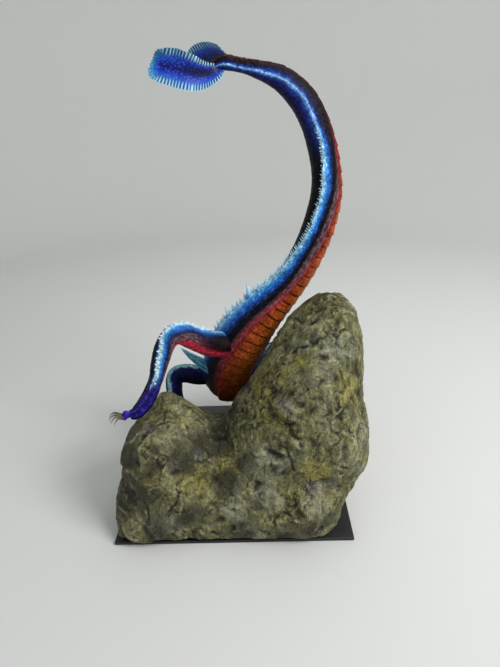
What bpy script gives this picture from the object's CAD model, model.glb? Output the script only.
import math
from functools import partial

import bpy
import numpy as np
from mathutils import Matrix, Vector, noise


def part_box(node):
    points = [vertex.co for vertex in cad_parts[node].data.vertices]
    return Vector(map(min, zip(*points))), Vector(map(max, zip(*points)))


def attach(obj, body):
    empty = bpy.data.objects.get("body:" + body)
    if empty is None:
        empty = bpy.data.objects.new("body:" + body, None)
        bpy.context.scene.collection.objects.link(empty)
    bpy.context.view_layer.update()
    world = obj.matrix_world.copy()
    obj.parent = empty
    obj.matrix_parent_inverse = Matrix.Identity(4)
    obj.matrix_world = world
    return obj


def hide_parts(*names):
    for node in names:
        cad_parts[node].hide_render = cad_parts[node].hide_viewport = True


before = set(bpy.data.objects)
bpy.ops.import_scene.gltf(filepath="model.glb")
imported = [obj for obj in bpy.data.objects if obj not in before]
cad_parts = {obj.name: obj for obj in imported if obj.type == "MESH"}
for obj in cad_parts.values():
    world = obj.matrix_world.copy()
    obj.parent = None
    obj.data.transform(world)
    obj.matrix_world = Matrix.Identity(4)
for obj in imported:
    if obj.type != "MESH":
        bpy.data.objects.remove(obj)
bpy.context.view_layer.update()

mm = 0.001               # every table below is in millimetres


def linearColour(hexText):
    values = [int(hexText[i:i + 2], 16) / 255 for i in (1, 3, 5)]
    return [v / 12.92 if v <= 0.04045 else ((v + 0.055) / 1.055) ** 2.4 for v in values] + [1]


def setInputs(node, inputs):
    # a list fills the sockets in their order: a map range takes value, from, from, to, to
    for socket, value in inputs.items() if isinstance(inputs, dict) else enumerate(inputs):
        if isinstance(value, bpy.types.NodeSocket):
            node.id_data.links.new(value, node.inputs[socket])
        else:
            node.inputs[socket].default_value = linearColour(value) if isinstance(value, str) else value


def addNode(tree, kind, inputs=(), out=None, stops=(), **settings):
    node = tree.nodes.new("ShaderNode" + kind)
    while stops and len(node.color_ramp.elements) < len(stops):
        node.color_ramp.elements.new(0.5)
    for i, (place, hexText) in enumerate(stops):
        node.color_ramp.elements[i].position = place
        node.color_ramp.elements[i].color = linearColour(hexText)
    for name, value in settings.items():
        setattr(node, name, value)
    setInputs(node, inputs)
    return node.outputs[out] if out else next(socket for socket in node.outputs if socket.enabled)


def startMaterial(name, looks):
    material = bpy.data.materials.new(name)
    material.use_nodes = True
    shader = material.node_tree.nodes["Principled BSDF"]
    setInputs(shader, {"IOR": 1.5, **looks})
    return material, partial(addNode, material.node_tree), shader


def addObject(name, data):
    thing = bpy.data.objects.new(name, data)
    bpy.context.scene.collection.objects.link(thing)
    return thing


def deselectAll():
    if bpy.context.object and bpy.context.object.mode != "OBJECT":
        bpy.ops.object.mode_set(mode="OBJECT")
    bpy.ops.object.select_all(action="DESELECT")


def pick(piece):
    deselectAll()
    piece.select_set(True)
    bpy.context.view_layer.objects.active = piece


def mergeMesh(piece, gap, inside=None):
    pick(piece)
    bpy.ops.object.mode_set(mode="EDIT")
    bpy.ops.mesh.select_all(action="SELECT")
    bpy.ops.mesh.remove_doubles(threshold=gap)
    if inside is not None:
        bpy.ops.mesh.normals_make_consistent(inside=inside)
    bpy.ops.object.mode_set(mode="OBJECT")


def readRows(piece, field):
    flat = np.empty(len(piece.data.vertices) * 3, np.float32)
    piece.data.vertices.foreach_get(field, flat)
    return flat.reshape(-1, 3).astype(float)


def writePoints(piece, points):
    piece.data.vertices.foreach_set("co", np.asarray(points, np.float32).ravel())
    piece.data.update()


def writeMask(piece, name, values):
    values = np.asarray(values, np.float32)
    kind, field = ("FLOAT", "value") if values.ndim == 1 else ("FLOAT_VECTOR", "vector")
    mask = piece.data.attributes.get(name) or piece.data.attributes.new(name, kind, "POINT")
    mask.data.foreach_set(field, values.ravel())


def ease(low, high, value):
    share = np.clip((np.asarray(value, float) - low) / (high - low), 0, 1)
    return share * share * (3 - 2 * share)


def noiseAt(points, size, shift=0):
    rows = (np.asarray(points) / size + shift).tolist()
    return np.array([noise.noise(row) for row in rows])


def finishPiece(piece, material, smooth=True):
    piece.data.materials.clear()
    piece.data.materials.append(material)
    pick(piece)
    if smooth:
        bpy.ops.object.shade_smooth()
    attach(piece, "root")
    return piece


def joinAs(name, pieces):
    deselectAll()
    for piece in pieces:
        piece.select_set(True)
    bpy.context.view_layer.objects.active = pieces[0]
    bpy.ops.object.join()
    pieces[0].name = name
    pieces[0].data.name = name
    return pieces[0]


cameraPlan = {
    "place": (27.9, -388.1, 329.8), "lens": 26, "frame": 36,
    "down": 25.39, "left": 1.46, "roll": -2.34,            # degrees
}


def makeCamera():
    plan = cameraPlan
    data = bpy.data.cameras.new("camera")
    data.lens = plan["lens"]
    data.sensor_width = plan["frame"]
    data.clip_start = 0.01
    camera = addObject("camera", data)
    down, left, roll = (math.radians(plan[k]) for k in ("down", "left", "roll"))
    camera.matrix_world = Matrix.Translation(Vector(plan["place"]) * mm)
    for angle, axis in ((left, "Z"), (math.pi / 2 - down, "X"), (roll, "Z")):
        camera.matrix_world @= Matrix.Rotation(angle, 4, axis)
    bpy.context.scene.camera = camera


stagePlan = {
    "floorRadius": 0.95, "coveRadius": 0.35, "wallTop": 1.5, "paper": "#dcdddb",
    "sky": "#eef2f6", "skyStrength": 0.22,
    "lights": {           # place and aim in metres, width, watts
        "key": ((0.72, -0.42, 0.88), (0, 0, 0.17), 0.45, 9.6),
        "fill": ((-0.7, -0.85, 0.75), (0, 0, 0.17), 0.9, 1.1),
        "top": ((0.1, 0.3, 1.15), (0, 0, 0.17), 0.8, 2),
        "wall": ((0.5, 0.3, 1.3), (0.45, 1.3, 0.4), 0.8, 2.2),
    },
}


def makeStage():
    plan = stagePlan
    bend = plan["coveRadius"]
    arc = [(plan["floorRadius"] + bend * math.sin(a), bend * (1 - math.cos(a)))
           for a in np.linspace(0, math.pi / 2, 12)]
    profile = [(0, 0), (0.3, 0)] + arc + [(arc[-1][0], plan["wallTop"])]
    data = bpy.data.meshes.new("paper_cove")
    data.from_pydata([(x, 0, z) for x, z in profile], [(i, i + 1) for i in range(len(profile) - 1)], [])
    cove = addObject("paper_cove", data)
    pick(cove)
    bpy.ops.object.mode_set(mode="EDIT")
    bpy.ops.mesh.select_all(action="SELECT")
    bpy.ops.mesh.spin(steps=96, angle=2 * math.pi, center=(0, 0, 0), axis=(0, 0, 1))
    mergeMesh(cove, 1e-5, inside=True)
    paper, *_ = startMaterial("matt backdrop paper", {"Roughness": 0.95, "Base Color": plan["paper"]})
    data.materials.append(paper)
    bpy.ops.object.shade_smooth()
    for name, (place, aim, width, power) in plan["lights"].items():
        light = bpy.data.lights.new(name + "_light", "AREA")
        light.size = width
        light.energy = power
        lamp = addObject(name + "_light", light)
        lamp.location = place
        lamp.rotation_euler = (Vector(place) - Vector(aim)).to_track_quat("Z", "Y").to_euler()
    world = bpy.data.worlds.new("soft room")
    world.use_nodes = True
    setInputs(world.node_tree.nodes["Background"], {"Color": plan["sky"], "Strength": plan["skyStrength"]})
    bpy.context.scene.world = world
    bpy.context.scene.view_settings.view_transform = "Standard"


def makeBoardPaint():
    # acrylic on board, rolled on satin: near-black with a faint orange peel and a little dust
    material, add, shader = startMaterial("satin black acrylic", {"Roughness": 0.38})
    place = add("TexCoord", out="Object")
    dust = add("TexNoise", {"Vector": place, "Scale": 1 / (9 * mm), "Detail": 8})
    tone = add("ValToRGB", {"Fac": dust}, stops=[(0.35, "#0b0c0d"), (0.75, "#1b1c1e")])
    gloss = add("MapRange", [dust, 0, 1, 0.3, 0.55])
    peel = add("TexNoise", {"Vector": place, "Scale": 1 / (1.1 * mm), "Detail": 2})
    bump = add("Bump", {"Height": peel, "Strength": 0.25, "Distance": 0.15 * mm})
    setInputs(shader, {"Base Color": tone, "Roughness": gloss, "Normal": bump})
    return material


def makeRockPaint():
    # air-drying clay under matt acrylic: olive sponged on, ochre and violet dabs, dark wash in the creases
    material, add, shader = startMaterial("washed matt acrylic on clay", {"Roughness": 0.78})
    place = add("TexCoord", out="Object")
    smeared = add("Mapping", {"Vector": place, "Rotation": (0, 0.8, 0), "Scale": (1, 1, 0.5)})
    broad = add("TexNoise", {
        "Vector": place, "Scale": 1 / (34 * mm), "Detail": 6, "Roughness": 0.62, "Distortion": 0.6})
    dabs = add("TexNoise", {
        "Vector": smeared, "Scale": 1 / (6.5 * mm), "Detail": 8, "Roughness": 0.72, "Distortion": 1.2})
    specks = add("TexNoise", {"Vector": place, "Scale": 1 / (1.9 * mm), "Detail": 4, "Roughness": 0.7})
    ground = add("ValToRGB", {"Fac": broad}, stops=[
        (0.36, "#1d190c"), (0.44, "#423f24"), (0.51, "#66654c"), (0.58, "#84836f"), (0.7, "#93927c")])
    sponge = add("ValToRGB", {"Fac": dabs}, stops=[
        (0.36, "#120f06"), (0.44, "#3c391b"), (0.53, "#75733f"), (0.6, "#9c9962"), (0.68, "#b8b592")])
    colour = add("Mix", {"Factor": 0.6, "A": ground, "B": sponge}, data_type="RGBA")
    breakUp = add("MapRange", [dabs, 0.38, 0.6, 0, 1.3])
    for name, hexText, strength in (("violet", "#75727c", 0.7), ("ochre", "#8c8436", 0.7),
                                    ("greyed", "#878875", 0.7), ("umber", "#1d180b", 0.95)):
        mask = add("Attribute", out="Fac", attribute_name=name)
        amount = add("Math", [mask, breakUp], operation="MULTIPLY", use_clamp=True)
        amount = add("Math", [amount, strength], operation="MULTIPLY")
        colour = add("Mix", {"Factor": amount, "A": colour, "B": hexText}, data_type="RGBA")
    raised, sunk = (add("Attribute", out="Fac", attribute_name=name) for name in ("raised", "sunk"))
    drybrush = add("Math", [raised, specks], operation="MULTIPLY", use_clamp=True)
    # hairline cracks where the clay has dried into plates
    bent = add("VectorMath", [dabs.node.outputs["Color"], (9 * mm,) * 3, place], operation="MULTIPLY_ADD")
    plates = add("TexVoronoi", {"Vector": bent, "Scale": 1 / (15 * mm)}, feature="DISTANCE_TO_EDGE")
    gap = add("MapRange", [plates, 0.01, 0.035, 1, 0])
    opened = add("MapRange", [broad, 0.39, 0.45, 0.9, 0])
    crack = add("Math", [gap, opened], operation="MULTIPLY")
    deep = add("Math", [sunk, crack], operation="MAXIMUM")
    for amount, layer in ((drybrush, "#b9b48c"), (deep, "#14100a")):
        colour = add("Mix", {"Factor": amount, "A": colour, "B": layer}, data_type="RGBA")
    fleck = add("MapRange", [specks, 0.3, 0.7, 0.45, 1.5])
    colour = add("VectorMath", {0: colour, "Scale": fleck}, operation="SCALE")
    gloss = add("MapRange", [dabs, 0, 1, 0.92, 0.6])
    height = add("Math", [crack, -1.2, specks], operation="MULTIPLY_ADD")
    bump = add("Bump", {"Height": height, "Strength": 0.8, "Distance": 0.6 * mm})
    setInputs(shader, {"Base Color": colour, "Roughness": gloss, "Normal": bump})
    return material


# The paint runs in bands round the body: 0 is the middle of the belly and 1 the middle of the back.
skinPaint = {
    "body": [(0, "#a85a1e"), (0.1, "#9a481a"), (0.18, "#963c1c"), (0.205, "#82281e"), (0.25, "#98283a"),
             (0.33, "#6c1e2c"), (0.385, "#260a16"), (0.42, "#060408"), (0.53, "#060610"), (0.6, "#0e1c4a"),
             (0.65, "#1c52ac"), (0.71, "#3a8cdc"), (0.76, "#86c8f0"), (0.8, "#cceaf8"), (0.812, "#0c1638"),
             (0.84, "#04050c"), (1, "#020207")],
    "tip": [(0, "#44180f"), (0.2, "#32100f"), (0.34, "#1d0a10"), (0.5, "#0c0a16"), (0.62, "#12143c"),
            (0.69, "#1d3088"), (0.745, "#3f7cd0"), (0.79, "#a4d0f2"), (0.81, "#7ab0ea"), (0.835, "#2646a0"),
            (0.88, "#172370"), (0.93, "#121248"), (1, "#0a0a2c")],
}
# On a leg the bands start at its ridge: 0.5 is the ridge, 1 the underside, 0 the side turned away.
legPaint = {
    "near": [(0, "#050409"), (0.34, "#060610"), (0.42, "#0c1a44"), (0.455, "#3c86c8"), (0.48, "#d4ecf4"),
             (0.53, "#b8def0"), (0.56, "#4f9cd8"), (0.61, "#2a6cb8"), (0.665, "#16296c"), (0.7, "#1c1230"),
             (0.76, "#4a2632"), (0.81, "#5c2a34"), (0.835, "#b02a40"), (0.9, "#dc4058"), (1, "#8c1c2a")],
    "far": [(0, "#040308"), (0.32, "#070618"), (0.45, "#10184c"), (0.475, "#6a9ea8"), (0.525, "#7eb2b8"),
            (0.545, "#121c58"), (0.66, "#0b0d38"), (0.8, "#0a0824"), (1, "#120714")],
    "foot": [(0, "#08061a"), (0.3, "#0e0c38"), (0.46, "#1c1668"), (0.52, "#3a2f9e"), (0.6, "#241a80"),
             (0.75, "#1c1270"), (1, "#0c0728")],
}


def makeSkinPaint(name, main, end, share):
    # satin acrylic over a wrinkled modelled skin, drybrushed so that the crests catch a lighter tone
    material, add, shader = startMaterial(name, {"Roughness": 0.42, "Specular IOR Level": 0.1})
    place = add("TexCoord", out="Object")
    straight = add("Attribute", out="Vector", attribute_name="straight")
    band, blend, groove, worn = (add("Attribute", out="Fac", attribute_name=mask)
                                 for mask in ("band", share, "groove", "worn"))
    drawn = add("VectorMath", [straight, (0.3, 1, 1)], operation="MULTIPLY")
    ringed = add("VectorMath", [straight, (0.9, 0.65, 0.65)], operation="MULTIPLY")
    strokes = add("TexNoise", {"Vector": drawn, "Scale": 1 / (1.3 * mm), "Detail": 5, "Roughness": 0.65})
    wrinkles = add("TexNoise", {
        "Vector": ringed, "Scale": 1 / (1.7 * mm), "Detail": 4, "Roughness": 0.6, "Distortion": 0.8})
    pebbles = add("TexVoronoi", {"Vector": place, "Scale": 1 / (1.6 * mm)})
    patches = add("TexNoise", {"Vector": place, "Scale": 1 / (8 * mm), "Detail": 4})
    jitter = add("MapRange", [strokes, 0.25, 0.75, -0.035, 0.035])
    reach = add("Math", [band, jitter], operation="ADD")
    body = add("ValToRGB", {"Fac": reach}, stops=main)
    tip = add("ValToRGB", {"Fac": reach}, stops=end)
    colour = add("Mix", {"Factor": blend, "A": body, "B": tip}, data_type="RGBA")
    crest = add("MapRange", [wrinkles, 0.36, 0.62, 0.45, 1.35])
    patchTone = add("MapRange", [patches, 0.3, 0.7, 0.7, 1.3])
    tone = add("Math", [crest, patchTone], operation="MULTIPLY")
    colour = add("VectorMath", {0: colour, "Scale": tone}, operation="SCALE")
    lifted = add("VectorMath", [colour, (2.2, 2.2, 2.2), (0.02, 0.02, 0.025)], operation="MULTIPLY_ADD")
    drybrush = add("MapRange", [strokes, 0.54, 0.66, 0, 0.75])
    dragged = add("MapRange", [strokes, 0.44, 0.64, 0.06, 0.95])
    streaked = add("Math", [worn, dragged], operation="MULTIPLY")
    for amount, layer in ((drybrush, lifted), (groove, "#080305"), (streaked, "#83767c")):
        colour = add("Mix", {"Factor": amount, "A": colour, "B": layer}, data_type="RGBA")
    gloss = add("MapRange", [patches, 0, 1, 0.32, 0.55])
    height = add("Math", [pebbles, -0.5, wrinkles], operation="MULTIPLY_ADD")
    bump = add("Bump", {"Height": height, "Strength": 0.7, "Distance": 0.6 * mm})
    setInputs(shader, {"Base Color": colour, "Roughness": gloss, "Normal": bump})
    return material


def makeFanPaint():
    # ultramarine glaze in the cup, stippled lighter outwards, with pale blue picked out on each rib
    looks = {"Roughness": 0.42, "Specular IOR Level": 0.2}
    material, add, shader = startMaterial("ultramarine glazed leaf", looks)
    place = add("TexCoord", out="Object")
    outward, rib, back, groove = (add("Attribute", out="Fac", attribute_name=mask)
                                  for mask in ("outward", "rib", "back", "groove"))
    strokes = add("TexNoise", {"Vector": place, "Scale": 1 / (2 * mm), "Detail": 5, "Roughness": 0.72})
    dots = add("TexVoronoi", {"Vector": place, "Scale": 1 / (1.5 * mm)})
    jitter = add("MapRange", [strokes, 0.25, 0.75, -0.24, 0.24])
    reach = add("Math", [outward, jitter], operation="ADD")
    front = add("ValToRGB", {"Fac": reach}, stops=[
        (0, "#080f5c"), (0.25, "#0e2298"), (0.45, "#1a46be"), (0.62, "#1f5cb8"), (0.8, "#2b74b0"),
        (1, "#4a96bc")])
    rear = add("ValToRGB", {"Fac": reach}, stops=[
        (0, "#2c1014"), (0.35, "#241230"), (0.7, "#1b2f86"), (1, "#2f66b4")])
    stipple = add("MapRange", [dots, 0.14, 0.34, 0.5, 0])
    colour = front
    for amount, layer in ((back, rear), (stipple, "#6fa4ee"), (rib, "#b8e6f6"), (groove, "#07082a")):
        colour = add("Mix", {"Factor": amount, "A": colour, "B": layer}, data_type="RGBA")
    bump = add("Bump", {"Height": strokes, "Strength": 0.4, "Distance": 0.4 * mm})
    setInputs(shader, {"Base Color": colour, "Normal": bump})
    return material


def makeHornPaint():
    # grey-brown glaze over pale clay, glossier than the skin, dark at the root
    material, add, shader = startMaterial("glazed horn", {"Roughness": 0.32})
    along = add("Attribute", out="Fac", attribute_name="along")
    place = add("TexCoord", out="Object")
    streaks = add("TexNoise", {"Vector": place, "Scale": 1 / (1.2 * mm), "Detail": 3})
    reach = add("Math", [streaks, 0.3, along], operation="MULTIPLY_ADD")
    tone = add("ValToRGB", {"Fac": reach}, stops=[(0.2, "#1a1410"), (0.6, "#5c5147"), (1, "#8f8577")])
    bump = add("Bump", {"Height": streaks, "Strength": 0.3, "Distance": 0.2 * mm})
    setInputs(shader, {"Base Color": tone, "Normal": bump})
    return material


def makeSpikePaint(name, root, point):
    # thick acrylic dabbed on the points, so the tips are the palest
    material, add, shader = startMaterial(name, {"Roughness": 0.4})
    along = add("Attribute", out="Fac", attribute_name="along")
    place = add("TexCoord", out="Object")
    dabs = add("TexNoise", {"Vector": place, "Scale": 1 / (1.5 * mm), "Detail": 3})
    reach = add("Math", [dabs, 0.5, along], operation="MULTIPLY_ADD")
    tone = add("ValToRGB", {"Fac": reach}, stops=[(0.25, root), (0.8, point)])
    setInputs(shader, {"Base Color": tone})
    return material


boardPlan = {"bevel": 0.5, "segments": 3}


def makeBoard():
    low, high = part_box("base_plate")
    deselectAll()
    bpy.ops.mesh.primitive_cube_add(size=1, location=(0, 0, 0))
    board = bpy.context.object
    board.name = "painted_board"
    writePoints(board, (readRows(board, "co") + 0.5) * np.array(high - low) + np.array(low))
    bpy.ops.object.mode_set(mode="EDIT")
    bpy.ops.mesh.select_all(action="SELECT")
    bpy.ops.mesh.bevel(offset=boardPlan["bevel"] * mm, segments=boardPlan["segments"], affect="EDGES")
    bpy.ops.object.mode_set(mode="OBJECT")
    finishPiece(board, makeBoardPaint(), smooth=False)
    bpy.ops.object.shade_smooth_by_angle(angle=math.radians(40))
    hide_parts("base_plate")
    print("board made")


rockPlan = {
    "voxel": 1.3, "warp": 7,
    "relief": [           # wave, height, and how much it is folded into creases or drawn out into smears
        {"wave": 30, "height": 2, "folded": 0.2},
        {"wave": 14, "height": 3.6, "folded": 0.5},
        {"wave": 7.5, "height": 1.6, "folded": 0.7, "drawn": 1.6},
        {"wave": 4.4, "height": 1, "folded": 0.5, "drawn": 2.4, "patchy": True},
        {"wave": 2.7, "height": 0.7, "folded": 0.3, "patchy": True},
    ],
    # middle, size and height of each pressed-on lump, then middle, size and depth of each hollow
    "knobs": [((68, -98, 36), 22, 2.6), ((-62, -94, 66), 17, 1.8), ((-45, -60, 96), 14, 1.2),
              ((104, -48, 78), 20, 2.2)],
    "hollows": [((-18, -66, 78), 17, 3.5), ((-39, -87, 76), 12, 1.8), ((-4, -85, 54), 11, 1.6),
                ((100, -72, 26), 22, 6)],
    "cracks": [
        [(-42, -93, 51), (-43, -96, 45), (-50, -100, 37)],
        [(40, -89, 92), (45, -91, 91), (48, -93, 82), (50, -93, 71)],
        [(49, -89, 101), (55, -91, 98), (57, -93, 87)],
        [(73, -90, 118), (84, -86, 122)],
        [(23, -66, 114), (29, -61, 125), (39, -65, 137)],
        [(51, -57, 154), (57, -58, 160), (65, -63, 162)],
        [(80, -60, 179), (76, -61, 175), (75, -63, 171)],
        [(-64, -73, 95), (-57, -65, 96), (-45, -63, 95)],
    ],
    "crackDepth": 1.7, "crackHalfWidth": 0.9,
    "veinHalfWidth": 0.028,
    "veins": [(17, 2.2, 24, 17, 0.05, 0.25, 0.9), (10, 6.1, 16, 23, 0.15, 0.35, 0.7)],    # finer crack nets
    "ring": {"at": (25, -95, 45), "radius": 2.6, "depth": 0.7, "halfWidth": 0.7},
    "patches": {          # middle and size of each dab of colour
        "ochre": [((-31, -87, 53), 14), ((-64, -94, 64), 10), ((-4, -80, 66), 9), ((65, -93, 69), 15),
                  ((75, -93, 43), 11), ((43, -92, 48), 9), ((30, -52, 130), 22), ((37, -73, 112), 16),
                  ((93, -74, 129), 14), ((52, -70, 150), 14), ((-40, -62, 92), 8), ((10, -88, 95), 9)],
        "violet": [((67, -91, 52), 9), ((-24, -79, 76), 9), ((43, -81, 121), 10), ((-64, -71, 96), 8),
                   ((79, -92, 53), 8), ((60, -66, 165), 8)],
        "greyed": [((32, -91, 76), 20), ((30, -93, 46), 16), ((87, -63, 160), 16), ((-1, -98, 35), 14),
                   ((-51, -102, 24), 16), ((68, -95, 40), 12), ((95, -70, 95), 12), ((-72, -80, 78), 9)],
        "umber": [((-66, -84, 70), 16), ((-50, -95, 90), 12), ((-60, -104, 8), 16), ((40, -100, 8), 14),
                  ((86, -62, 60), 15), ((62, -70, 140), 9), ((10, -84, 70), 10), ((5, -45, 95), 14),
                  ((18, -38, 112), 12), ((-8, -50, 82), 15), ((-30, -70, 78), 16), ((-80, -85, 50), 30),
                  ((-85, -70, 75), 26), ((-62, -100, 20), 18), ((-95, -80, 20), 18), ((-17, -65, 78), 15),
                  ((-39, -87, 78), 14), ((-3, -85, 54), 12), ((-92, -86, 33), 14), ((-34, -98, 30), 14),
                  ((6, -100, 15), 15), ((-10, -40, 90), 12), ((60, -100, 18), 14), ((95, -60, 60), 16),
                  ((78, -99, 22), 10), ((-15, -30, 60), 20)],
    },
}


def lineDistance(points, line):
    best = np.full(len(points), 1e9)
    for start, end in zip(line[:-1], line[1:]):
        a, b = np.array(start, float), np.array(end, float)
        share = np.clip(((points - a) @ (b - a)) / ((b - a) @ (b - a)), 0, 1)
        best = np.minimum(best, np.linalg.norm(points - a - share[:, None] * (b - a), axis=1))
    return best


def spotDistance(points, at, size=1):
    return np.linalg.norm(points - np.array(at, float), axis=1) / size


def noiseVector(points, size, shifts):
    return np.stack([noiseAt(points, size, shift) for shift in shifts], axis=1)


def applyModifier(piece, name, kind, settings):
    modifier = piece.modifiers.new(name, kind)
    for field, value in settings.items():
        setattr(modifier, field, value)
    bpy.ops.object.modifier_apply(modifier=name)


def makeRock():
    plan = rockPlan
    rock = addObject("clay_rock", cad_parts["rock"].data.copy())
    mergeMesh(rock, 1e-6)
    applyModifier(rock, "rounding", "SUBSURF", {"levels": 2, "render_levels": 2})
    applyModifier(rock, "grid", "REMESH", {"mode": "VOXEL", "voxel_size": plan["voxel"] * mm})
    applyModifier(rock, "easing", "SMOOTH", {"factor": 0.5, "iterations": 12})
    points = readRows(rock, "co") / mm
    normals = readRows(rock, "normal")
    warped = points + plan["warp"] * noiseVector(points, 17, (3.1, 7.7, 11.9))
    lift = np.zeros(len(points))
    rough = 0.15 + 0.85 * ease(-0.15, 0.3, noiseAt(points, 21, 31))
    for i, layer in enumerate(plan["relief"]):
        drawn = layer.get("drawn", 1)          # smears run down to the right
        smeared = np.stack([(warped[:, 0] * 0.6 + warped[:, 2] * 0.8), warped[:, 1],
                            (warped[:, 0] * 0.8 - warped[:, 2] * 0.6) / drawn], axis=1)
        wave = noiseAt(smeared, layer["wave"], 5.3 * i)
        creased = 1 - 2.6 * np.abs(wave)
        step = layer["height"] * ((1 - layer["folded"]) * wave + layer["folded"] * creased * 0.5)
        lift += step * rough if layer.get("patchy") else step
    for at, size, height in plan["knobs"]:
        lift += height * np.exp(-(spotDistance(points, at, size) * 1.15) ** 4)
    for at, size, depth in plan["hollows"]:
        lift -= depth * np.exp(-spotDistance(points, at, size) ** 2)
    cracked = np.zeros(len(points))
    wobble = points + 1.6 * noiseVector(points, 4.5, (1.3, 2.9, 8.1))
    for line in plan["cracks"]:
        cracked = np.maximum(cracked, np.exp(-(lineDistance(wobble, line) / plan["crackHalfWidth"]) ** 2))
    for size, shift, patchSize, patchShift, low, high, strength in plan["veins"]:
        vein = np.exp(-(noiseAt(wobble, size, shift) / plan["veinHalfWidth"]) ** 2)
        shown = ease(low, high, noiseAt(points, patchSize, patchShift))
        cracked = np.maximum(cracked, vein * shown * strength)
    ring = plan["ring"]
    offRing = np.abs(spotDistance(points, ring["at"]) - ring["radius"])
    lift -= plan["crackDepth"] * cracked + ring["depth"] * np.exp(-(offRing / ring["halfWidth"]) ** 2)
    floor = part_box("rock")[0].z / mm
    calm = ease(floor + 0.5, floor + 7, points[:, 2])
    moved = points + normals * (lift * (0.25 + 0.75 * calm))[:, None]
    moved[:, 2] = np.maximum(moved[:, 2], floor - 0.25)
    writePoints(rock, moved * mm)
    # how far each point stands above or below its surroundings
    edges = np.empty(len(rock.data.edges) * 2, int)
    rock.data.edges.foreach_get("vertices", edges)
    edges = edges.reshape(-1, 2)
    count = np.bincount(edges.ravel(), minlength=len(points)).astype(float)
    level = lift.copy()
    for i in range(70):
        total = np.bincount(edges[:, 0], level[edges[:, 1]], len(points))
        total += np.bincount(edges[:, 1], level[edges[:, 0]], len(points))
        level = total / count
        if i == 8:
            close = lift - level
    wide = lift - level
    dark = 0.7 * ease(0.1, 0.9, -close) + 0.6 * ease(0.6, 2.6, -wide) + 0.9 * cracked
    writeMask(rock, "sunk", np.clip(dark, 0, 0.95))
    writeMask(rock, "raised", 0.7 * ease(0.15, 0.9, close) + 0.5 * ease(0.6, 2.4, wide))
    for name, dabs in plan["patches"].items():
        covers = [1 - ease(0.35, 1.25, spotDistance(warped, at, size)) for at, size in dabs]
        writeMask(rock, name, np.max(covers, axis=0))
    finishPiece(rock, makeRockPaint())
    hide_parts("rock")
    print("rock made,", len(rock.data.polygons), "faces")


def smoothRow(rows, shares):
    rows = np.asarray(rows, float)
    if rows.ndim == 1:
        return smoothRow(rows[:, None], shares)[:, 0]
    last = len(rows) - 1
    place = np.clip(np.asarray(shares, float) * last, 0, last - 1e-9)
    i = place.astype(int)
    w = (place - i)[:, None]
    padded = np.vstack([2 * rows[0] - rows[1], rows, 2 * rows[-1] - rows[-2]])
    p0, p1, p2, p3 = (padded[i + k] for k in range(4))
    leave, arrive = (p2 - p0) / 2, (p3 - p1) / 2
    return (p1 + w * leave + w ** 2 * (3 * p2 - 3 * p1 - 2 * leave - arrive)
            + w ** 3 * (2 * p1 - 2 * p2 + leave + arrive))


def unit(rows):
    return rows / np.linalg.norm(rows, axis=-1, keepdims=True)


def makeRail(stations, everyBelly=None):
    places = [s[0] for s in stations]
    radii = [s[1] for s in stations]
    bellies = [s[2] if len(s) > 2 else everyBelly for s in stations]

    def rail(shares):
        shares = np.atleast_1d(np.asarray(shares, float))
        step = 1e-4
        after, before = np.minimum(shares + step, 1), np.maximum(shares - step, 0)
        ahead = unit(smoothRow(places, after) - smoothRow(places, before))
        down = smoothRow(bellies, shares)
        down = unit(down - ahead * np.sum(down * ahead, axis=1, keepdims=True))
        return {"middle": smoothRow(places, shares), "radius": smoothRow(radii, shares),
                "down": down, "side": np.cross(ahead, down), "ahead": ahead}

    fine = np.linspace(0, 1, 1601)
    steps = np.linalg.norm(np.diff(smoothRow(places, fine), axis=0), axis=1)
    rail.shares = fine
    rail.lengths = np.concatenate([[0], np.cumsum(steps)])
    rail.lengthAt = lambda shares: np.interp(shares, rail.shares, rail.lengths)
    rail.shareAt = lambda lengths: np.interp(lengths, rail.lengths, rail.shares)
    return rail


def ringPoints(station, turn):
    out = station["down"] * np.cos(turn)[:, None] + station["side"] * np.sin(turn)[:, None]
    return station["middle"] + station["radius"][:, None] * out


def skinGrain(points):
    return noiseAt(points, 1.9) + 0.6 * noiseAt(points, 4.2, 9)


def stationAt(rail, share):
    return {name: rows[0] for name, rows in rail([share]).items()}


def drawOut(name, rail, around, along, section, shares=None):
    deselectAll()
    bpy.ops.mesh.primitive_uv_sphere_add(segments=around, ring_count=along, radius=1)
    piece = bpy.context.object
    piece.name = name
    piece.data.name = name
    ball = readRows(piece, "co")
    turn = np.arctan2(ball[:, 1], ball[:, 0])
    share = np.arccos(np.clip(-ball[:, 2], -1, 1)) / math.pi
    if shares is not None:
        share = np.interp(share, np.linspace(0, 1, len(shares)), shares)
    onAxis = np.hypot(ball[:, 0], ball[:, 1]) < 1e-5
    station = rail(share)
    down, side, masks = section(turn, share, station)
    down = np.where(onAxis, 0, down * np.cos(turn))
    side = np.where(onAxis, 0, side * np.sin(turn))
    points = station["middle"] + station["down"] * down[:, None] + station["side"] * side[:, None]
    writePoints(piece, points * mm)
    writeMask(piece, "straight", np.stack([rail.lengthAt(share), down, side], axis=1) * mm)
    for mask, values in masks.items():
        writeMask(piece, mask, values)
    while piece.data.uv_layers:
        piece.data.uv_layers.remove(piece.data.uv_layers[0])
    return piece


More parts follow.
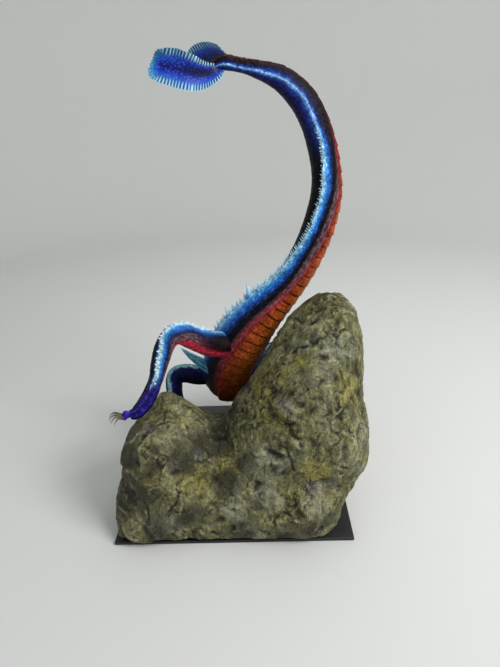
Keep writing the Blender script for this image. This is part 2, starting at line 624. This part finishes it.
spine = [
    ((-3, 2.5, 353.6), 1.2, (0.25, 0.1, 0.95)),
    ((7, 1.8, 357.2), 4.6, (0.25, 0.1, 0.95)),
    ((20, 2, 355), 4.7, (0.24, 0.09, 0.97)),
    ((33, 3, 351.5), 6.1, (0.34, 0.34, 0.87)),
    ((48, 4, 345.5), 8.3, (0.47, 0.53, 0.7)),
    ((62.3, 5, 333), 9.9, (0.65, 0.5, 0.57)),
    ((71.5, 5, 318), 10.3, (0.83, 0.34, 0.45)),
    ((77.5, 5, 301), 10.6, (0.93, 0.26, 0.27)),
    ((81.5, 5, 282), 10.8, (0.98, 0.06, 0.1)),
    ((82, 5, 262), 11.8, (1, -0.08, -0.1)),
    ((76.6, 5, 238), 12.5, (0.92, -0.24, -0.28)),
    ((67.3, 5, 215), 12.8, (0.81, -0.42, -0.42)),
    ((55, 5, 194), 13.4, (0.68, -0.56, -0.47)),
    ((40, 5, 176), 15.6, (0.52, -0.7, -0.49)),
    ((25, 5, 159), 18.5, (0.44, -0.8, -0.4)),
    ((12, 8, 140), 21.5, (0.42, -0.84, -0.34)),
    ((-1, 14, 117.5), 23, (0.42, -0.84, -0.36)),
    ((-7, 24, 93.5), 23.5, (0.38, -0.7, -0.6)),
    ((-4, 38, 78.5), 22.5, (0.26, -0.42, -0.87)),
    ((12, 52, 76.5), 21.5, (0.16, -0.36, -0.92)),
    ((32, 60, 81), 20, (0.28, -0.34, -0.9)),
    ((51, 63, 89), 18.5, (0.36, -0.34, -0.87)),
    ((66, 62, 100), 14, (0.46, -0.3, -0.83)),
    ((77, 60, 113), 11.5, (0.62, -0.2, -0.75)),
    ((85, 60, 126), 10, (0.6, 0.1, -0.79)),
    ((91, 63, 135), 9, (0.4, 0.3, -0.87)),
    ((96, 68, 139), 6, (0.3, 0.3, -0.9)),
]
ridgeTurn = [(0, 68), (0.05, 68), (0.1, 62), (0.14, 55), (0.19, 64), (0.23, 69), (0.28, 71), (0.34, 70),
             (0.4, 70), (0.45, 56), (0.52, 38), (0.75, 36), (1, 40)]    # degrees from the middle of the back

bodyPlan = {
    "around": 120, "along": 720, "torsoFrom": 0.68, "torsoRings": 0.2,
    "bellyStandOut": 0.05, "plateLength": 8.8, "plateLift": 1.3, "plateGroove": 0.1,
    "bellyTurns": ([0, 0.14, 0.2, 0.26, 0.32, 0.36, 0.4, 0.45, 0.5, 1],
                   [54, 48, 44, 36, 29, 34, 38, 40, 42, 42]),
    "redTurns": ([0, 0.25, 0.3, 0.36, 0.42, 0.5, 1], [4, 8, 20, 32, 32, 20, 20]),
    "blackTurns": ([0, 0.05, 0.14, 0.2, 0.24, 0.28, 0.34, 0.42, 0.5, 1],
                   [26, 28, 36, 45, 44, 26, 16, 12, 20, 22]),
    "ridgeLift": 1.7,
    "grain": 0.22,
}


def ridgeAt(shares):
    places, turns = zip(*ridgeTurn)
    return 180 - np.interp(shares, places, turns)


def bodySection(turn, share, station):
    plan = bodyPlan
    radius = station["radius"]
    degrees = np.abs(np.degrees(turn))
    ridge = ridgeAt(share)
    tip = 1 - ease(0.22, 0.3, share)
    belly = np.interp(share, *plan["bellyTurns"])
    grain = skinGrain(ringPoints(station, turn))
    # belly plates: each rises towards its lower edge, with a groove before the next one
    cycle = (spineRail.lengthAt(share) / plan["plateLength"]) % 1
    groove = ease(0, plan["plateGroove"], np.minimum(cycle, 1 - cycle))
    onBelly = 1 - ease(belly - 3, belly + 3, degrees)
    plate = onBelly * (plan["bellyStandOut"] * radius + plan["plateLift"] * (0.35 + 0.65 * cycle) * groove)
    faint = (1 - ease(belly + 12, belly + 26, degrees)) * (1 - onBelly)
    plate += faint * 0.3 * (groove - 1)
    plate *= 1 - 0.6 * tip
    # two keeled ridges, which fall away steeply towards the back
    offRidge = np.radians(np.abs(degrees - ridge)) * radius
    keel = np.exp(-(offRidge / np.where(degrees > ridge, 0.9, 2.4)) ** 2)
    keel *= (0.3 + 0.7 * ease(0.22, 0.4, share)) * ease(0.02, 0.08, share)
    height = plan["ridgeLift"] * keel * (1 + 0.45 * grain)
    # a shallow channel along the dark band, and another between the ridges
    channel = -0.5 * np.exp(-((degrees - belly - 33) / 9) ** 2) * ease(0.25, 0.45, share)
    back = -0.035 * radius * ease(ridge, 180, degrees) * ease(0.35, 0.5, share)
    reach = radius + plate + height + channel + back + plan["grain"] * grain
    # the paint's bands, 0 at the middle of the belly to 1 at the middle of the back
    red = belly + np.interp(share, *plan["redTurns"])
    black = red + np.interp(share, *plan["blackTurns"])
    knots = np.stack([np.zeros_like(red), belly, red, black, ridge, np.full_like(red, 180)])
    band = np.zeros_like(red)
    for i in range(5):
        inside = (degrees >= knots[i]) & (degrees <= knots[i + 1] + 1e-6)
        band[inside] = (i + (degrees - knots[i])[inside] / (knots[i + 1] - knots[i])[inside]) / 5
    # a dark wash under the torso and on the flank turned to the rock, and worn streaks along the dark band
    hidden = (turn * farSide > 0) * ease(0.46, 0.52, share) * ease(0.84, 0.78, share)
    streaks = ease(0.2, 0.26, band) * ease(0.41, 0.37, band)
    washes = [0.5 * ease(0.6, 0.7, share) * ease(40, 70, degrees),
              0.93 * hidden * ease(belly - 26, belly + 8, degrees),
              0.45 * ease(0.57, 0.64, share) * ease(0.8, 0.7, share),
              streaks * np.interp(share, [0.24, 0.3, 0.42, 0.5], [0, 0.75, 0.65, 0]),
              (onBelly + 0.45 * faint) * (1 - groove) * (1 - 0.5 * tip) * 0.9]
    worn = streaks * np.interp(share, [0.27, 0.33, 0.44, 0.52, 0.62], [0, 0.85, 0.85, 0.4, 0.2])
    masks = {"band": band, "tip": tip, "groove": np.max(washes, axis=0), "worn": worn}
    return reach, reach, masks


farSide = -1                # which hand of the spine is turned to the rock
spineRail = makeRail(spine)


def makeBody():
    plan = bodyPlan
    torsoRings = int(plan["along"] * plan["torsoRings"])
    middle, last = float(spineRail.lengthAt(plan["torsoFrom"])), spineRail.lengths[-1]
    lengths = np.concatenate([np.linspace(0, middle, plan["along"] - torsoRings),
                              np.linspace(middle, last, torsoRings + 1)[1:]])
    shares = spineRail.shareAt(lengths)
    body = drawOut("body_and_tail", spineRail, plan["around"], plan["along"], bodySection, shares)
    finishPiece(body, skinPaintMaterial)
    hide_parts("dragon")
    print("body made,", len(body.data.polygons), "faces")


spikePlan = {
    "from": 0.25, "to": 0.955, "spacing": 2.2, "shift": 0.5, "wander": 3.5, "small": (1.8, 3.4),
    "sunk": 1.4, "slimness": 0.5, "slimmest": 1.6, "lean": 0.8,
    "splay": ([0.3, 0.45, 0.52, 0.6], [42, 34, 12, 0]),
    "grown": ([0.25, 0.34, 0.4, 0.46, 0.52, 0.63, 0.72, 1], [0.25, 0.5, 0.95, 1.3, 1.45, 1.35, 0.9, 0.7]),
    "tall": [(0.5, 4.6), (0.512, 5.4), (0.522, 9.5), (0.531, 5), (0.545, 4.4), (0.554, 6), (0.568, 8.4),
             (0.577, 5.6), (0.586, 5), (0.592, 6.2), (0.599, 5.6), (0.607, 4.6), (0.616, 4.8)],
}


def spikeCone():
    deselectAll()
    bpy.ops.mesh.primitive_cone_add(vertices=7, radius1=1, radius2=0, depth=1, location=(0, 0, 0.5))
    cone = bpy.context.object
    bpy.ops.object.transform_apply(location=True, rotation=False, scale=False)
    bpy.ops.object.mode_set(mode="EDIT")
    bpy.ops.mesh.select_all(action="SELECT")
    bpy.ops.mesh.subdivide(number_cuts=2)
    bpy.ops.object.mode_set(mode="OBJECT")
    points = readRows(cone, "co")
    hollow = 1 - 0.35 * np.sin(math.pi * np.clip(points[:, 2], 0, 1))
    points[:, :2] *= hollow[:, None]
    points[:, 0] += 0.22 * points[:, 2] ** 2
    cells = [list(p.vertices) for p in cone.data.polygons]
    bpy.data.objects.remove(cone)
    return points, cells


def makeSpikes(name, rows, material):
    # one cone is modelled, then set out at every foot and turned along its way
    cone, cells = spikeCone()
    allPoints, allCells = [], []
    for i, (foot, tip, radius) in enumerate(rows):
        way = unit(tip - foot)
        across = unit(np.cross(way, (0.3, 0.2, 0.9)))
        third = np.cross(way, across)
        allPoints.append(foot + cone[:, :1] * radius * across + cone[:, 1:2] * radius * third
                         + cone[:, 2:] * (tip - foot))
        allCells += [[v + i * len(cone) for v in cell] for cell in cells]
    data = bpy.data.meshes.new(name)
    data.from_pydata((np.concatenate(allPoints) * mm).tolist(), [], allCells)
    piece = addObject(name, data)
    writeMask(piece, "along", np.tile(np.clip(cone[:, 2], 0, 1), len(rows)))
    finishPiece(piece, material)


def spikeRow(rail, share, angle, height, plan, splay=0):
    station = stationAt(rail, share)
    out, way = (station["down"] * math.cos(a) + station["side"] * math.sin(a) for a in (angle, angle + splay))
    foot = station["middle"] + out * (station["radius"] + 0.9 - plan["sunk"])
    tip = foot + way * (height + plan["sunk"]) - station["ahead"] * height * plan["lean"]
    return foot, tip, max(plan["slimmest"], height * plan["slimness"])


def scatterSpikes(rail, ridge, plan, chance, hand=1):
    rows = []
    for length in np.arange(rail.lengthAt(plan["from"]), rail.lengthAt(plan["to"]), plan["spacing"]):
        share = float(rail.shareAt(length + chance.uniform(-plan["shift"], plan["shift"])))
        angle = math.radians(ridge(share) + chance.uniform(-plan["wander"], plan["wander"])) * hand
        height = np.interp(share, *plan["grown"]) * chance.uniform(*plan["small"])
        splay = math.radians(np.interp(share, *plan["splay"])) * hand
        rows.append(spikeRow(rail, share, angle, height, plan, splay))
    return rows


def makeRidgeSpikes():
    chance = np.random.default_rng(7)
    rows = []
    for hand in (1, -1):
        rows += scatterSpikes(spineRail, ridgeAt, spikePlan, chance, hand)
        for share, height in spikePlan["tall"]:
            angle = math.radians(ridgeAt(share) + chance.uniform(-2, 2)) * hand
            rows.append(spikeRow(spineRail, share, angle, height, spikePlan))
    makeSpikes("ridge_spikes", rows, makeSpikePaint("pale acrylic dabbed on spikes", "#3f92e0", "#b4e0f6"))
    print("ridge spikes made,", len(rows))


frontOfLeg = (0, -0.35, 1)
hiddenLeg = {"paint": "far", "spikes": 1.2, "ridge": ([0, 0.4, 0.6, 1], [10, 10, 30, 10]),
             "squeeze": ([0, 1], [1, 1]), "worn": 0, "blend": 0}
foreleg = {**hiddenLeg, "around": 48, "along": 160, "footFrom": 0.78, "root": 0.32, "blend": 0.85}
legs = {
    "near_hind_leg": {
        "stations": [((12, 16, 124), 10), ((4, 7, 130), 11.5), ((-6, -2, 136), 11.8),
                     ((-18.5, -10, 142), 11.2), ((-30, -18, 151), 9.8), ((-38, -25, 158.5), 9.2),
                     ((-45, -29.5, 160), 8.6),
                     ((-51.5, -33, 153), 8), ((-56.3, -39, 141), 7.4), ((-59.8, -45, 128.5), 6),
                     ((-64.3, -50.5, 118.5), 5.6), ((-70, -55.5, 110), 5.8), ((-76.5, -60, 105), 4.8),
                     ((-81, -62, 105), 3.2)],
        "paint": "near", "around": 72, "along": 320, "footFrom": 0.72, "spikes": 3.2,
        "ridge": ([0, 0.36, 0.46, 0.56, 0.7, 1], [36, 34, 14, -14, -20, -10]),
        "squeeze": ([0, 0.45, 0.56, 1], [1, 1, 1.3, 1.3]), "root": 0.34, "worn": 0.85, "blend": 0},
    "far_hind_leg": {
        **hiddenLeg, "around": 56, "along": 220, "footFrom": 0.74, "root": 0.1,
        "stations": [((0, 30, 100), 14), ((-20, 27, 92), 11.5), ((-36, 23, 91.5), 9.8), ((-47, 20, 95), 9.2),
                     ((-56.5, 16, 94), 8.4), ((-58, 12, 82), 7.8), ((-56, 11, 71), 6), ((-56, 15, 65), 5),
                     ((-59, 21, 60), 4.8), ((-63, 27, 56), 3.8)]},
    "outer_foreleg": {
        **foreleg,
        "stations": [((48, 66, 90), 15), ((57, 79, 90), 9), ((66, 88, 91), 6.6), ((73, 90, 86), 6),
                     ((77, 85, 76), 5), ((80, 80, 66), 4.4), ((85, 75, 60), 4.4), ((90, 70, 57), 3.4)]},
    "inner_foreleg": {
        **foreleg,
        "stations": [((54, 56, 95), 15), ((68, 45, 100), 9), ((80, 37, 108), 6.6), ((87, 33, 116), 6),
                     ((91, 24, 124), 5), ((95, 17, 131), 4.4), ((98, 11, 138), 4.2), ((100, 6, 143), 3.2)]},
}
toePlan = {"count": 4, "spread": 50, "level": 0.1, "length": 6, "radius": 2.6, "rise": 1.2, "sunk": 8}
clawPlan = {"length": 11, "radius": 1.15, "middle": 0.8, "tip": 0.12, "rise": 0.3, "droop": 0.1}


def makeLeg(name, plan):
    rail = makeRail(plan["stations"], frontOfLeg)

    def section(turn, share, station):
        radius = station["radius"]
        points = ringPoints(station, turn)
        grain = skinGrain(points)
        turned = (np.degrees(turn) - np.interp(share, *plan["ridge"]) + 180) % 360 - 180
        offRidge = np.abs(np.radians(turned)) * radius
        shown = 1 - ease(plan["footFrom"] - 0.05, plan["footFrom"] + 0.05, share)
        root = 1 - ease(plan["root"] - 0.14, plan["root"], share)
        bare = root * (1 - plan["blend"])          # a blended root takes the foot's paint, another goes dark
        keel = np.exp(-(offRidge / 1.7) ** 2) * shown * (1 - bare)
        muscle = 0.045 * radius * noiseAt(points, 11, 4)
        tendon = (1 - shown) * 0.7 * np.cos(5 * turn)
        reach = radius + 0.8 * keel * (1 + 0.4 * grain) + muscle + tendon + 0.2 * grain
        band = np.clip(0.5 - turned / 360 * np.interp(share, *plan["squeeze"]), 0, 1)
        between = 0.75 * (1 - shown) * ease(0.1, -0.8, np.cos(5 * turn + 1.2 * grain))
        under = np.maximum(0.3, 0.95 * ease(0.56, 0.64, band) * ease(0.86, 0.81, band))
        worn = ease(0.68, 0.74, band) * ease(0.83, 0.8, band) * ease(0.26, 0.36, share) * shown
        return reach, reach, {
            "band": band, "foot": np.maximum(1 - shown, plan["blend"] * root),
            "groove": between + bare * under, "worn": worn * plan["worn"]}

    leg = drawOut(name, rail, plan["around"], plan["along"], section)
    finishPiece(leg, legPaintMaterials[plan["paint"]])
    return rail


def makeFoot(name, plan):
    stations = [np.array(s[0], float) for s in plan["stations"]]
    end = stations[-1]
    heading = unit((end - stations[-3]) * (1, 1, toePlan["level"]))
    level = unit(np.cross(heading, (0, 0, 1)))
    up = np.cross(level, heading)
    long, far, thick, thin = toePlan["length"], clawPlan["length"], toePlan["radius"], clawPlan["radius"]
    # how far out, how high and how thick, station by station
    toe = [(-toePlan["sunk"], 0, thick), (-1, 0, thick * 0.9), (long * 0.5, toePlan["rise"], thick),
           (long, 0, thin * 1.5), (long + 1, 0, thin)]
    claw = [(long - 1, 0, thin), (long + 1, 0.6, thin),
            (long + far * 0.5, far * clawPlan["rise"], clawPlan["middle"]),
            (long + far * 0.85, far * 0.16, clawPlan["middle"] * 0.55),
            (long + far, -far * clawPlan["droop"], clawPlan["tip"])]
    toes, claws = [], []
    for i in range(toePlan["count"]):
        turn = math.radians((i / (toePlan["count"] - 1) - 0.5) * toePlan["spread"])
        way = heading * math.cos(turn) + np.cross(up, heading) * math.sin(turn)
        toeRail, clawRail = (makeRail([(end + way * out + up * rise, radius) for out, rise, radius in rows],
                                      tuple(up)) for rows in (toe, claw))
        toes.append(drawOut("toe", toeRail, 20, 26, lambda turn, share, station: (
            station["radius"] * (1 + 0.1 * np.sin(share * 26)), station["radius"],
            {"band": 0.5 - np.degrees(turn) / 360, "foot": np.ones(len(turn))})))
        claws.append(drawOut("claw", clawRail, 14, 30, lambda turn, share, station: (
            station["radius"] * 1.15, station["radius"] * 0.85, {"along": share})))
    finishPiece(joinAs(name + "_toes", toes), legPaintMaterials[plan["paint"]])
    finishPiece(joinAs(name + "_claws", claws), hornMaterial)


def makeLegSpikes(rails):
    chance = np.random.default_rng(11)
    for name, rail in rails.items():
        leg = legs[name]
        plan = {**spikePlan, "from": 0.22, "to": leg["footFrom"], "spacing": 2.1, "shift": 0.6, "wander": 14,
                "small": (0.45, 1), "grown": ([0, 1], [leg["spikes"]] * 2), "lean": -0.1,
                "splay": ([0, 1], [0, 0])}
        rows = scatterSpikes(rail, lambda share: np.interp(share, *leg["ridge"]), plan, chance)
        colours = ("#5fa6da", "#e6f6fa") if name == "near_hind_leg" else ("#4f8f9c", "#a8d4d2")
        makeSpikes(name + "_spikes", rows, makeSpikePaint(name.replace("_", " ") + " spike acrylic", *colours))


nearFan = [
    ((9, 2, 356.5), 4, (0.1, 1, 0)), ((3.8, 1, 354.2), 5, (0.1, 1, 0)), ((-0.5, -1.4, 352), 7, (0.1, 1, 0)),
    ((-5.5, -3.1, 351), 9, (0.15, 1, 0)), ((-11, -5.5, 351.4), 11, (0.15, 1, 0)),
    ((-18.3, -8.6, 353), 12, (0.2, 1, 0)), ((-25.5, -10.2, 354.6), 12, (0.2, 1, 0)),
    ((-32, -11.6, 355.8), 11.2, (0.2, 1, 0)), ((-36.4, -12, 357.2), 10.8, (0.2, 1, 0)),
    ((-40.6, -12.3, 359.6), 10.6, (0.2, 1, 0)),
]
farFan = [
    ((13, 2.5, 357.5), 4, (0.7, 0.7, 0.2)), ((10.5, 6, 358.6), 5.5, (0.7, 0.7, 0.2)),
    ((8.6, 9, 359.5), 7.8, (0.7, 0.7, 0.2)), ((6.5, 15, 361), 10, (0.7, 0.7, 0.2)),
    ((2.5, 22, 361.6), 11.6, (0.7, 0.7, 0.2)), ((-5, 32, 362), 12.2, (0.75, 0.65, 0.2)),
    ((-13.5, 39.5, 361.6), 11, (0.8, 0.6, 0.2)), ((-19.5, 43.5, 361), 8.5, (0.8, 0.6, 0.2)),
    ((-21, 44.5, 361), 7, (0.8, 0.6, 0.2)),
]
fanPlan = {"thick": 2.2, "cup": 0.5, "rounds": 600, "across": 46, "ribLean": 0.9, "innerFrom": 0.12,
           "innerTo": 0.84, "ribLift": 0.6}
# Along each leaf: how much of its half width the upper half keeps, where the ribs start above and below the
# middle, and how wide and how far along the dark crease runs
fanLooks = {
    "near_tail_fan": {
        "upper": ([0, 0.11, 0.22, 0.33, 0.44, 0.56, 0.67, 0.78, 1],
                  [0.6, 0.5, 0.66, 0.7, 0.7, 0.86, 0.96, 1, 1]),
        "ribFrom": ([0, 0.45, 0.6, 1], [0.6, 0.6, 0.55, 0.5]), "lowerRibFrom": 0.56, "corner": 0.42,
        "ribSpacing": 2.1, "bead": 0.7, "crease": 0.28, "creaseTo": 0.72, "dark": 0, "deep": 1, "rope": 1},
    "far_tail_fan": {
        "upper": ([0, 1], [1, 1]), "ribFrom": ([0, 1], [0.5, 0.6]), "lowerRibFrom": 0.55, "corner": 0.62,
        "ribSpacing": 2.5, "bead": 0.6, "crease": 0.4, "creaseTo": 0.9, "dark": 1, "deep": 0.4, "rope": 0},
}


def makeFan(name, stations):
    plan = {**fanPlan, **fanLooks[name]}
    rail = makeRail(stations)
    rounds, across = plan["rounds"], plan["across"]

    def rimAt(turn):
        share = 0.5 - 0.5 * np.sign(np.cos(turn)) * np.abs(np.cos(turn)) ** plan["corner"]
        wide = np.sign(np.sin(turn)) * np.abs(np.sin(turn)) ** plan["corner"]
        return share, np.where(wide < 0, wide * np.interp(share, *plan["upper"]), wide)

    fine = np.linspace(0, 2 * math.pi, 20001)
    share, wide = rimAt(fine)
    edge = rail(share)
    steps = np.diff(edge["middle"] + edge["side"] * (wide * edge["radius"])[:, None], axis=0)
    rimLength = np.concatenate([[0], np.cumsum(np.linalg.norm(steps, axis=1))])
    seen = np.linalg.norm(steps * (1, plan["deep"], 1), axis=1)
    ribLength = np.concatenate([[0], np.cumsum(seen)])      # ribs stand wider apart where the rim runs back
    ribs = round(ribLength[-1] / plan["ribSpacing"])
    even = np.linspace(0, 1, rounds, endpoint=False)
    turn = np.interp(even * rimLength[-1], rimLength, fine)
    phase = np.interp(turn, fine, ribLength) / ribLength[-1] * ribs
    share, wide = rimAt(turn)
    inner = np.clip(share, plan["innerFrom"], plan["innerTo"])
    upper = wide < 0
    ribFrom = np.where(upper, np.interp(share, *plan["ribFrom"]), plan["lowerRibFrom"])
    ribFrom = ribFrom + 0.25 * ease(0.82, 0.95, share)
    rope = plan["rope"] * upper * ease(0.65, 0.5, share)
    strength = 0.75 + 0.5 * noiseAt(np.stack([np.cos(turn), np.sin(turn), even * 0], axis=1), 0.11)
    fray = 0.9 * noiseAt(np.stack([even * 210, even * 0, even * 0], axis=1), 2.6)
    rows, masks = [], {"outward": [], "rib": [], "back": [], "groove": []}
    for angle in np.linspace(0, math.pi, across):        # from the front's middle, over the rim, to the back
        out = math.sin(angle)
        onFront = angle < math.pi / 2
        wave = 0.5 + 0.5 * np.cos(2 * math.pi * (phase + plan["ribLean"] * (1 - out)))
        at = share * out + inner * (1 - out)
        station = rail(at)
        cup = -plan["cup"] * station["radius"] * (wide * out) ** 2
        tipCurl = -1.6 * ease(0.8, 1, at) * out
        frayed = fray * ease(0.8, 0.97, at) * out ** 4
        ribbed = ease(ribFrom, ribFrom + 0.22, out)
        thick = plan["thick"] / 2 * (1 - 0.35 * out) * math.cos(angle)
        lift = (1 if onFront else -0.5) * ribbed * plan["ribLift"] * (wave - 0.4) * (1 + 1.6 * rope)
        bead = plan["bead"] * ribbed * (wave - 0.3) * out ** 6 * (1 + 1.2 * rope)
        width = wide * out * station["radius"] + np.sign(wide) * bead * np.abs(wide)
        middle = station["middle"] + station["side"] * width[:, None]
        middle += station["down"] * (cup + tipCurl - thick - lift)[:, None]
        middle += station["ahead"] * (frayed - bead * np.cos(turn))[:, None]
        rows.append(middle)
        masks["outward"].append(out * (0.75 + 0.25 * ease(0.55, 0.8, share) + 0.1 * ~upper))
        picked = ease(0.45, 0.9, wave) * strength * (0.5 + 0.6 * out + 0.9 * rope)
        picked = np.maximum(picked, rope * ease(0.7, 0.78, out) * (0.45 + 0.55 * wave))
        picked = np.clip(ribbed * picked * (1 - 0.7 * ease(0.8, 0.95, share)), 0, 1)
        masks["rib"].append(picked if onFront else 0.6 * picked)
        masks["back"].append(np.full(rounds, float(angle > math.pi * 0.52)))
        crease = np.exp(-((out * wide + 0.06) / plan["crease"]) ** 2) * ease(plan["creaseTo"], 0.4, at)
        below = plan["dark"] * ease(0.2, 0.42, out * wide) * ease(1, 0.8, at)
        between = 0.75 * ribbed * ease(0.55, 1, 1 - wave)
        masks["groove"].append(np.clip(0.9 * np.maximum(crease, below) * (angle < 1.5) + between, 0, 1))
    cells = [(i * rounds + j, i * rounds + k, (i + 1) * rounds + k, (i + 1) * rounds + j)
             for i in range(across - 1) for j, k in zip(range(rounds), [*range(1, rounds), 0])]
    data = bpy.data.meshes.new(name)
    data.from_pydata((np.concatenate(rows) * mm).tolist(), [], cells)
    fan = addObject(name, data)
    for mask, values in masks.items():
        writeMask(fan, mask, np.concatenate(values))
    mergeMesh(fan, 1e-6, inside=False)
    finishPiece(fan, fanMaterial)
    print(name, "made,", len(fan.data.polygons), "faces,", ribs, "ribs")


skull = [
    ((88, 61, 132), 7, (0.4, 0.3, -0.87)), ((94, 66, 138), 10, (0.3, 0.3, -0.9)),
    ((98, 72, 140), 9.4, (0.2, 0.2, -0.96)), ((101, 78, 138.5), 7, (0.1, 0.1, -0.99)),
    ((104, 85, 136.5), 6, (0.1, 0.1, -0.99)), ((106, 91, 135), 5, (0.1, 0.1, -0.99)),
]
jaw = [((94, 67, 132), 6.5), ((98, 75, 131), 5.5), ((102, 83, 130.5), 4), ((104.5, 90, 130.5), 2.8)]
headPlan = {"hornLength": 17, "hornRadius": 3, "hornShare": 0.35, "spread": 0.4, "lift": 0.42, "sweep": 0.7,
            "eyeShare": 0.42, "eyeTurn": 118, "eyeRadius": 1.7}


def makeHead():
    plan = headPlan
    rail = makeRail(skull)

    def skullSection(turn, share, station):
        degrees = np.abs(np.degrees(turn))

        def dimple(height, atTurn, width, atShare, length):
            return height * np.exp(-((degrees - atTurn) / width) ** 2 - ((share - atShare) / length) ** 2)

        features = dimple(1.5, 138, 13, 0.42, 0.12) + dimple(-1.1, 112, 11, 0.43, 0.07)  # brow, socket
        features += dimple(-0.8, 140, 9, 0.9, 0.03)          # nostril
        snout = 0.5 * np.exp(-((degrees - 180) / 16) ** 2) * ease(0.45, 0.6, share)
        grain = 0.2 * noiseAt(ringPoints(station, turn), 1.9)
        reach = station["radius"] * (0.94 + 0.06 * np.cos(2 * turn)) + features + snout + grain
        masks = {"band": 0.35 + 0.65 * degrees / 180, "groove": dimple(0.8, 112, 11, 0.43, 0.07)}
        return reach, reach, masks

    finishPiece(drawOut("skull", rail, 80, 90, skullSection), skinPaintMaterial)
    lower = drawOut("lower_jaw", makeRail(jaw, (0, 0, -1)), 48, 50, lambda turn, share, station: (
        station["radius"] * 0.8, station["radius"],
        {"band": 0.22 * np.abs(turn) / math.pi, "groove": 0.5 * ease(80, 110, np.abs(np.degrees(turn)))}))
    finishPiece(lower, skinPaintMaterial)
    brow, spot = (stationAt(rail, plan[k]) for k in ("hornShare", "eyeShare"))
    horns, eyes = [], []
    for hand in (-1, 1):
        outward, upward = brow["side"] * hand, -brow["down"]
        way = unit(outward * plan["spread"] + upward * plan["lift"] - brow["ahead"] * plan["sweep"])
        foot = brow["middle"] + (outward * 0.5 + upward * 0.4) * brow["radius"]
        bow = upward * 2.2
        row = [(foot, plan["hornRadius"]), (foot + way * 8 + bow * 0.8, 2.4), (foot + way * 16 + bow, 1.4),
               (foot + way * plan["hornLength"], 0.25)]
        horns.append(drawOut("horn", makeRail(row, tuple(brow["down"])), 24, 60, lambda turn, share, station: (
            *[station["radius"] * (1 + 0.08 * np.sin(share * 70))] * 2, {"along": share})))
        turn = math.radians(plan["eyeTurn"]) * hand
        out = spot["down"] * math.cos(turn) + spot["side"] * math.sin(turn)
        at = spot["middle"] + out * (spot["radius"] - 0.9)
        deselectAll()
        bpy.ops.mesh.primitive_uv_sphere_add(segments=24, ring_count=14, radius=plan["eyeRadius"] * mm,
                                             location=tuple(at * mm))
        bpy.ops.object.transform_apply(location=True, rotation=True, scale=True)
        eyes.append(bpy.context.object)
    finishPiece(joinAs("horns", horns), hornMaterial)
    # gloss varnish over amber paint, which gives the eyes their wet glint
    varnish, *_ = startMaterial("glossy varnished eye", {
        "Roughness": 0.08, "Base Color": "#5a3206", "Coat Weight": 0.6})
    finishPiece(joinAs("eyes", eyes), varnish)
    print("head made")


hipSpike = [((-10, 10, 96), 6.5), ((-20, 8.5, 105), 5.8), ((-30, 8, 113.5), 4.3), ((-39.5, 8, 121.5), 2.5),
            ((-46.5, 8, 129), 0.3)]


def makeHipSpike():
    def section(turn, share, station):
        points = ringPoints(station, turn)
        ribs = 0.5 * np.cos(turn * 7 + 2 * noiseAt(points, 9)) * station["radius"] / 6
        reach = station["radius"] * (1 + 0.12 * noiseAt(points, 7, 3)) + ribs + 0.3 * noiseAt(points, 1.8)
        tone = share * 0.62 + 0.16 * np.cos(turn * 7) + 0.3 * noiseAt(points, 3.2, 5)
        return reach * 0.8, reach, {"along": tone}

    spike = drawOut("hip_spike", makeRail(hipSpike, (0, -1, 0.3)), 64, 120, section)
    finishPiece(spike, makeSpikePaint("turquoise glazed spike", "#0a2a78", "#63b4c8"))


makeCamera()
makeStage()
print("camera and stage made")
makeBoard()
makeRock()
skinPaintMaterial = makeSkinPaint("drybrushed satin acrylic skin", skinPaint["body"], skinPaint["tip"], "tip")
legPaintMaterials = {
    "near": makeSkinPaint("stippled satin acrylic leg", legPaint["near"], legPaint["foot"], "foot"),
    "far": makeSkinPaint("dark satin acrylic leg", legPaint["far"], legPaint["foot"], "foot"),
}
fanMaterial = makeFanPaint()
hornMaterial = makeHornPaint()
makeBody()
makeRidgeSpikes()
legRails = {}
for legName, legPlan in legs.items():
    legRails[legName] = makeLeg(legName, legPlan)
    makeFoot(legName, legPlan)
makeLegSpikes(legRails)
print("legs made")
makeFan("near_tail_fan", nearFan)
makeFan("far_tail_fan", farFan)
makeHead()
makeHipSpike()
